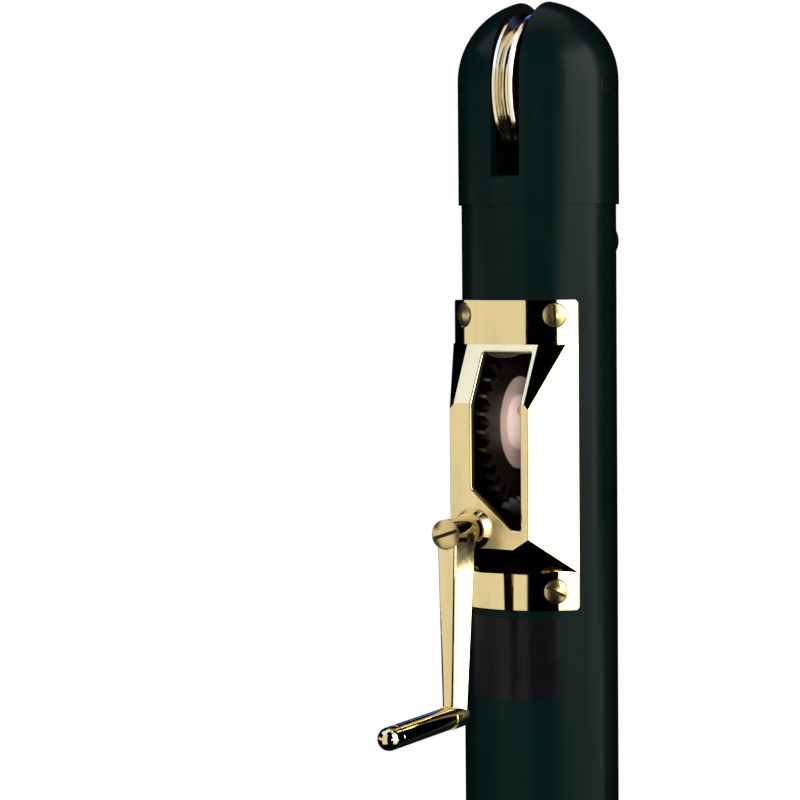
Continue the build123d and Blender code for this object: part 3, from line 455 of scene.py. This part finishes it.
def dress_nodes():
    """Gives the CAD nodes their materials, the first one on every face."""
    made = make_materials()
    for materials, nodes in FINISHES.items():
        for node in nodes:
            slots = frame["nodes"][node].data.materials
            slots.clear()
            for material in materials:
                slots.append(made[material])


def mark_faces(node, index, test):
    """Puts one of the node's materials on the faces that pass a test."""
    for face in frame["nodes"][node].data.polygons:
        if test(face):
            face.material_index = index


def mesh_tree(node):
    """Tree of a node's faces to cast rays against."""
    mesh = frame["nodes"][node].data
    points = [vertex.co for vertex in mesh.vertices]
    return BVHTree.FromPolygons(points, [tuple(face.vertices) for face in mesh.polygons])


def hidden_by_wall(node, within=1.0):
    """Test for the faces that a wall of the node hides from outside."""
    tree = mesh_tree(node)

    def test(face):
        outward = Vector((face.center.x, face.center.y, 0)).normalized()
        start = face.center + face.normal * WALL_RAY_START
        covered = tree.ray_cast(start, outward, WALL_REACH)[0] is not None
        return covered and face.center.xy.length < within

    return test


def in_slot(node):
    """Test for the faces that look at a near face of the node."""
    tree = mesh_tree(node)

    def test(face):
        across = face.normal.orthogonal().normalized()
        met = 0
        for step in range(SLOT_RAYS):
            sideways = Matrix.Rotation(math.tau * step / SLOT_RAYS, 3, face.normal) @ across
            ray = (face.normal + sideways).normalized()
            start = face.center + ray * SLOT_RAY_START
            met += tree.ray_cast(start, ray, SLOT_REACH)[0] is not None
        return met >= SLOT_RAYS * SLOT_SHARE

    return test


def inside_snout(face):
    """Whether the snout covers a face of the casting behind its window."""
    place, facing = face.center, face.normal
    within = abs(place.x) < SNOUT_HALF_WIDTH and SNOUT_HEIGHTS[0] < place.z < SNOUT_HEIGHTS[1]
    behind = place.y > FACE_Y + BEHIND_FACE
    return within and behind and facing.y < -TURNED_FORWARD and abs(facing.z) < NEARLY_UPRIGHT


def on_front(face):
    """Whether a face of the casting is on its flat front."""
    return face.normal.y < -ALONG_AXIS and abs(face.center.y - FACE_Y) < FACE_SPARE


def across_x(face):
    """Whether a face is flat across X."""
    return abs(face.normal.x) > ALONG_AXIS


def mark_nodes():
    """Puts the nodes' other materials on their faces. A later mark goes over an earlier one."""
    for node in ("housing_screws", "crank_screw", "clamp_screw", "wheel_screws"):
        # Slot faces that look at near faces of the screw get the near-black painted shade.
        mark_faces(node, 1, in_slot(node))
    # The wheel's flat sides get the painted light round the hub and the painted shade further out.
    mark_faces("worm_wheel", 1, across_x)
    # Faces hidden behind the walls of the tube and the cap get the near-black painted shade.
    mark_faces("post_tube", 1, hidden_by_wall("post_tube"))
    mark_faces("top_cap", 1, hidden_by_wall("top_cap", within=CAP_INSIDE_RADIUS))
    # The casting's hidden faces, and its inside behind the window, get the near-black painted shade.
    mark_faces("winch_housing", 1, hidden_by_wall("winch_housing"))
    mark_faces("winch_housing", 1, inside_snout)
    mark_faces("winch_housing", 2, on_front)


def direction(azimuth, elevation):
    """Unit vector towards an azimuth and elevation."""
    turn, lift = math.radians(azimuth), math.radians(elevation)
    return Vector((math.sin(turn) * math.cos(lift), -math.cos(turn) * math.cos(lift), math.sin(lift)))


def card_mesh(name, azimuths, elevations, distance):
    """Curved sheet round the winch."""
    centre = Vector((0, 0, WINCH_HEIGHT))
    points = []
    for row in range(CARD_STEPS + 1):
        lift = elevations[0] + (elevations[1] - elevations[0]) * row / CARD_STEPS
        for column in range(CARD_STEPS + 1):
            turn = azimuths[0] + (azimuths[1] - azimuths[0]) * column / CARD_STEPS
            points.append(centre + direction(turn, lift) * distance)
    stride = CARD_STEPS + 1
    corners = [row * stride + column for row in range(CARD_STEPS) for column in range(CARD_STEPS)]
    faces = [(first, first + 1, first + stride + 1, first + stride) for first in corners]
    mesh = bpy.data.meshes.new(name)
    mesh.from_pydata(points, [], faces)
    return mesh


def glow_material(name, colour, strength):
    """Material that only gives light. With no strength it is black."""
    material = bpy.data.materials.new(name)
    material.use_nodes = True
    tree = material.node_tree
    tree.nodes.clear()
    glow = tree.nodes.new("ShaderNodeEmission")
    glow.inputs["Color"].default_value = (*colour, 1.0)
    glow.inputs["Strength"].default_value = strength
    output = tree.nodes.new("ShaderNodeOutputMaterial")
    tree.links.new(glow.outputs["Emission"], output.inputs["Surface"])
    return material


def studio_card(name, azimuths, elevations, colour, strength, distance=CARD_DISTANCE):
    """Card that only reflections see."""
    mesh = card_mesh(name, azimuths, elevations, distance)
    mesh.materials.append(glow_material(name, colour, strength))
    card = bpy.data.objects.new(name, mesh)
    bpy.context.scene.collection.objects.link(card)
    card.visible_camera = False
    card.visible_diffuse = False
    card.visible_shadow = False
    card.visible_transmission = False


def studio_cards():
    """Light boxes and black flags that the polished metal shows."""
    for name, (azimuths, elevations, colour, strength) in LIGHT_BOXES.items():
        studio_card(name, azimuths, elevations, colour, strength)
    for name, (azimuths, elevations, distance) in BLACK_FLAGS.items():
        studio_card(name, azimuths, elevations, BLACK, 0.0, distance)


def world():
    """White to the camera and in reflections, an even soft fill elsewhere."""
    made = bpy.data.worlds.new("studio")
    bpy.context.scene.world = made
    made.use_nodes = True
    tree = made.node_tree
    back = tree.nodes["Background"]
    back.inputs["Color"].default_value = (1, 1, 1, 1)
    path = tree.nodes.new("ShaderNodeLightPath")
    seen = path.outputs["Is Camera Ray"]
    for name in ("Is Glossy Ray", "Is Transmission Ray"):
        either = tree.nodes.new("ShaderNodeMath")
        either.operation = "MAXIMUM"
        tree.links.new(seen, either.inputs[0])
        tree.links.new(path.outputs[name], either.inputs[1])
        seen = either.outputs["Value"]
    level = tree.nodes.new("ShaderNodeMapRange")
    level.inputs["To Min"].default_value = WORLD_FILL
    level.inputs["To Max"].default_value = 1.0
    tree.links.new(seen, level.inputs["Value"])
    tree.links.new(level.outputs["Result"], back.inputs["Strength"])


def floor_material():
    """Pale floor that the camera sees fade to the white background."""
    mat = Shader("floor")
    mat.set(Base_Color=FLOOR_COLOUR, Roughness=0.9, Specular_IOR_Level=0.0)
    away = mat.node("ShaderNodeVectorMath", operation="LENGTH")
    mat.link(mat.place(), away.inputs[0])
    faded = mat.ramp(away.outputs["Value"], *FLOOR_FADE)
    path = mat.node("ShaderNodeLightPath")
    white = mat.node("ShaderNodeEmission")
    blend = mat.node("ShaderNodeMixShader")
    mat.link(mat.math("MULTIPLY", faded, path.outputs["Is Camera Ray"]), blend.inputs["Fac"])
    mat.link(mat.surface.outputs["BSDF"], blend.inputs[1])
    mat.link(white.outputs["Emission"], blend.inputs[2])
    mat.link(blend.outputs["Shader"], mat.tree.nodes["Material Output"].inputs["Surface"])
    return mat.material


def floor():
    """Round floor under the foot."""
    place = (0, 0, cad_box[0][2] - FLOOR_DROP)
    bpy.ops.mesh.primitive_circle_add(vertices=FLOOR_SIDES, radius=FLOOR_RADIUS,
                                      fill_type="NGON", location=place)
    made = bpy.context.object
    made.name = "floor"
    made.data.materials.append(floor_material())
    made.visible_glossy = False


def soft_lamp(name, azimuth, elevation, distance, size, power):
    """Square soft lamp aimed at the winch."""
    data = bpy.data.lights.new(name, "AREA")
    data.size = size
    data.energy = power
    lamp = bpy.data.objects.new(name, data)
    towards = direction(azimuth, elevation)
    lamp.location = Vector((0, 0, WINCH_HEIGHT)) + towards * distance
    lamp.rotation_euler = towards.to_track_quat("Z", "Y").to_euler()
    bpy.context.scene.collection.objects.link(lamp)
    lamp.visible_camera = False
    lamp.visible_glossy = False


def camera():
    """Camera at the photograph's viewpoint, looking slightly down."""
    data = bpy.data.cameras.new("camera")
    data.lens = CAMERA_LENS
    data.sensor_width = CAMERA_SENSOR
    data.clip_end = CAMERA_REACH
    made = bpy.data.objects.new("camera", data)
    place = direction(CAMERA_AZIMUTH, 0) * CAMERA_DISTANCE
    place.z = CAMERA_HEIGHT
    aim = -direction(CAMERA_AZIMUTH + CAMERA_YAW, CAMERA_TILT)
    turn = aim.to_track_quat("-Z", "Y").to_matrix().to_4x4()
    roll = Matrix.Rotation(math.radians(CAMERA_ROLL), 4, "Z")
    made.matrix_world = Matrix.Translation(place) @ turn @ roll
    bpy.context.scene.collection.objects.link(made)
    bpy.context.scene.camera = made


dress_nodes()
mark_nodes()
world()
floor()
studio_cards()
for lamp_name, lamp_settings in LAMPS.items():
    soft_lamp(lamp_name, *lamp_settings)
camera()
bpy.context.scene.view_settings.view_transform = "Standard"
